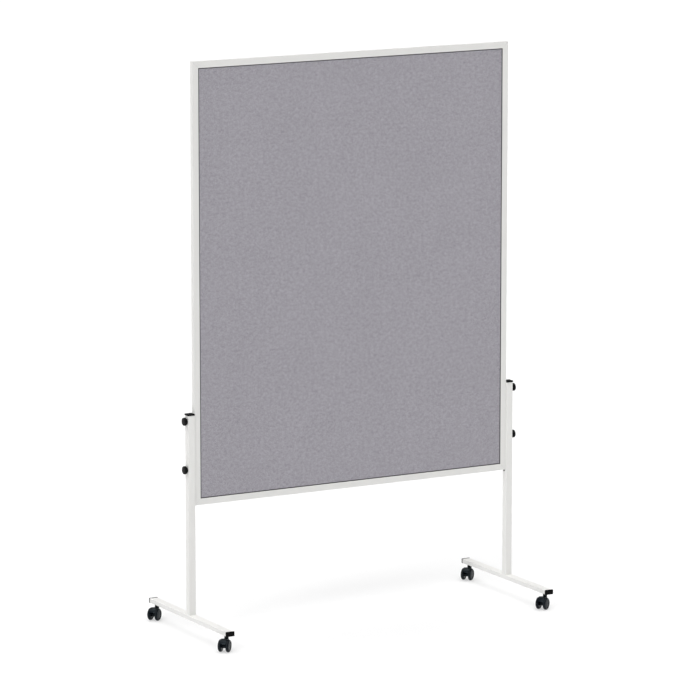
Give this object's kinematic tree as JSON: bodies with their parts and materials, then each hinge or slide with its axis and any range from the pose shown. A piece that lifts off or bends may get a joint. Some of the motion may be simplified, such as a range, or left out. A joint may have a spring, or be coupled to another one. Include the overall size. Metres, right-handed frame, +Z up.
{
  "type": "presentation pinboard",
  "caption": "Free-standing pinboard: a grey felt panel in a slim white frame, clamped by round knobs between two square columns on flat feet with twin-wheel castors.",
  "frame": {"origin": "on the floor, below the middle of the board", "axes": "+Z up, the front of the board looks along -Y, +X to the right seen from the front"},
  "size_m": [1.3133, 0.5807, 1.946],
  "materials": {
    "frame_white": "satin",
    "stand_white": "satin",
    "felt_grey": "matte",
    "core_board": "matte",
    "black_plastic": "matte",
    "castor_black": "gloss",
    "wheel_black": "satin",
    "black_steel": "satin",
    "inner_plastic": "matte",
    "zinc_steel": "satin"
  },
  "bodies": {
    "stand": {"frame_bottom_rail": "frame_white", "frame_top_rail": "frame_white", "frame_left_stile": "frame_white", "frame_right_stile": "frame_white", "corner_keys": "inner_plastic", "frame_screws": "zinc_steel", "left_threaded_bar": "zinc_steel", "right_threaded_bar": "zinc_steel", "core_panel": "core_board", "front_felt": "felt_grey", "front_seal": "black_plastic", "rear_felt": "felt_grey", "rear_seal": "black_plastic", "left_column": "stand_white", "left_column_cap": "black_plastic", "left_column_plug": "inner_plastic", "left_foot": "stand_white", "front_left_foot_cap": "black_plastic", "rear_left_foot_cap": "black_plastic", "right_column": "stand_white", "right_column_cap": "black_plastic", "right_column_plug": "inner_plastic", "right_foot": "stand_white", "front_right_foot_cap": "black_plastic", "rear_right_foot_cap": "black_plastic", "foot_bolts": "zinc_steel", "plug_screws": "zinc_steel", "front_left_castor_stem": "black_steel", "front_right_castor_stem": "black_steel", "rear_left_castor_stem": "black_steel", "rear_right_castor_stem": "black_steel", "castor_inserts": "inner_plastic"},
    "front_left_castor": {"front_left_castor_housing": "castor_black", "front_left_castor_axle": "zinc_steel"},
    "front_left_wheel_a": {"front_left_castor_wheel_a": "wheel_black"},
    "front_left_wheel_b": {"front_left_castor_wheel_b": "wheel_black"},
    "front_right_castor": {"front_right_castor_housing": "castor_black", "front_right_castor_axle": "zinc_steel"},
    "front_right_wheel_a": {"front_right_castor_wheel_a": "wheel_black"},
    "front_right_wheel_b": {"front_right_castor_wheel_b": "wheel_black"},
    "rear_left_castor": {"rear_left_castor_housing": "castor_black", "rear_left_castor_axle": "zinc_steel"},
    "rear_left_wheel_a": {"rear_left_castor_wheel_a": "wheel_black"},
    "rear_left_wheel_b": {"rear_left_castor_wheel_b": "wheel_black"},
    "rear_right_castor": {"rear_right_castor_housing": "castor_black", "rear_right_castor_axle": "zinc_steel"},
    "rear_right_wheel_a": {"rear_right_castor_wheel_a": "wheel_black"},
    "rear_right_wheel_b": {"rear_right_castor_wheel_b": "wheel_black"},
    "left_upper_washer": {"left_upper_knob_washer": "black_steel"},
    "left_upper_knob": {"left_upper_knob": "black_plastic", "left_upper_knob_stud": "zinc_steel"},
    "left_lower_washer": {"left_lower_knob_washer": "black_steel"},
    "left_lower_knob": {"left_lower_knob": "black_plastic", "left_lower_knob_stud": "zinc_steel"},
    "right_upper_washer": {"right_upper_knob_washer": "black_steel"},
    "right_upper_knob": {"right_upper_knob": "black_plastic", "right_upper_knob_stud": "zinc_steel"},
    "right_lower_washer": {"right_lower_knob_washer": "black_steel"},
    "right_lower_knob": {"right_lower_knob": "black_plastic", "right_lower_knob_stud": "zinc_steel"}
  },
  "joints": [
    {"name": "front_left_swivel", "type": "hinge", "parent": "stand", "child": "front_left_castor", "pos_m": [-0.6225, -0.256, 0.0462], "axis": [0, 0, 1], "continuous": true},
    {"name": "front_left_roll_a", "type": "hinge", "parent": "front_left_castor", "child": "front_left_wheel_a", "pos_m": [-0.64626, -0.26018, 0.021], "axis": [0.6947, -0.7193, 0], "continuous": true},
    {"name": "front_left_roll_b", "type": "hinge", "parent": "front_left_castor", "child": "front_left_wheel_b", "pos_m": [-0.62751, -0.2796, 0.021], "axis": [0.6947, -0.7193, 0], "continuous": true},
    {"name": "front_right_swivel", "type": "hinge", "parent": "stand", "child": "front_right_castor", "pos_m": [0.6225, -0.256, 0.0462], "axis": [0, 0, 1], "continuous": true},
    {"name": "front_right_roll_a", "type": "hinge", "parent": "front_right_castor", "child": "front_right_wheel_a", "pos_m": [0.59837, -0.25599, 0.021], "axis": [0.5592, -0.829, 0], "continuous": true},
    {"name": "front_right_roll_b", "type": "hinge", "parent": "front_right_castor", "child": "front_right_wheel_b", "pos_m": [0.61347, -0.27838, 0.021], "axis": [0.5592, -0.829, 0], "continuous": true},
    {"name": "rear_left_swivel", "type": "hinge", "parent": "stand", "child": "rear_left_castor", "pos_m": [-0.6225, 0.256, 0.0462], "axis": [0, 0, 1], "continuous": true},
    {"name": "rear_left_roll_a", "type": "hinge", "parent": "rear_left_castor", "child": "rear_left_wheel_a", "pos_m": [-0.6466, 0.25474, 0.021], "axis": [0.6018, -0.7986, 0], "continuous": true},
    {"name": "rear_left_roll_b", "type": "hinge", "parent": "rear_left_castor", "child": "rear_left_wheel_b", "pos_m": [-0.63035, 0.23318, 0.021], "axis": [0.6018, -0.7986, 0], "continuous": true},
    {"name": "rear_right_swivel", "type": "hinge", "parent": "stand", "child": "rear_right_castor", "pos_m": [0.6225, 0.256, 0.0462], "axis": [0, 0, 1], "continuous": true},
    {"name": "rear_right_roll_a", "type": "hinge", "parent": "rear_right_castor", "child": "rear_right_wheel_a", "pos_m": [0.59843, 0.25433, 0.021], "axis": [0.6157, -0.788, 0], "continuous": true},
    {"name": "rear_right_roll_b", "type": "hinge", "parent": "rear_right_castor", "child": "rear_right_wheel_b", "pos_m": [0.61505, 0.23305, 0.021], "axis": [0.6157, -0.788, 0], "continuous": true},
    {"name": "left_upper_travel", "type": "slide", "parent": "stand", "child": "left_upper_washer", "axis": [-1, 0, 0], "range_m": [0, 0.007]},
    {"name": "left_upper_turn", "type": "hinge", "parent": "left_upper_washer", "child": "left_upper_knob", "pos_m": [-0.6362, 0, 0.7352], "axis": [-1, 0, 0], "range_deg": [0, 2520]},
    {"name": "left_lower_travel", "type": "slide", "parent": "stand", "child": "left_lower_washer", "axis": [-1, 0, 0], "range_m": [0, 0.007]},
    {"name": "left_lower_turn", "type": "hinge", "parent": "left_lower_washer", "child": "left_lower_knob", "pos_m": [-0.6362, 0, 0.5692], "axis": [-1, 0, 0], "range_deg": [0, 2520]},
    {"name": "right_upper_travel", "type": "slide", "parent": "stand", "child": "right_upper_washer", "axis": [1, 0, 0], "range_m": [0, 0.007]},
    {"name": "right_upper_turn", "type": "hinge", "parent": "right_upper_washer", "child": "right_upper_knob", "pos_m": [0.6362, 0, 0.7352], "axis": [1, 0, 0], "range_deg": [0, 2520]},
    {"name": "right_lower_travel", "type": "slide", "parent": "stand", "child": "right_lower_washer", "axis": [1, 0, 0], "range_m": [0, 0.007]},
    {"name": "right_lower_turn", "type": "hinge", "parent": "right_lower_washer", "child": "right_lower_knob", "pos_m": [0.6362, 0, 0.5692], "axis": [1, 0, 0], "range_deg": [0, 2520]}
  ],
  "couplings": [
    {"joint": "left_upper_travel", "follows": "left_upper_turn", "m_per_rad": 0.00015915},
    {"joint": "left_lower_travel", "follows": "left_lower_turn", "m_per_rad": 0.00015915},
    {"joint": "right_upper_travel", "follows": "right_upper_turn", "m_per_rad": 0.00015915},
    {"joint": "right_lower_travel", "follows": "right_lower_turn", "m_per_rad": 0.00015915}
  ]
}
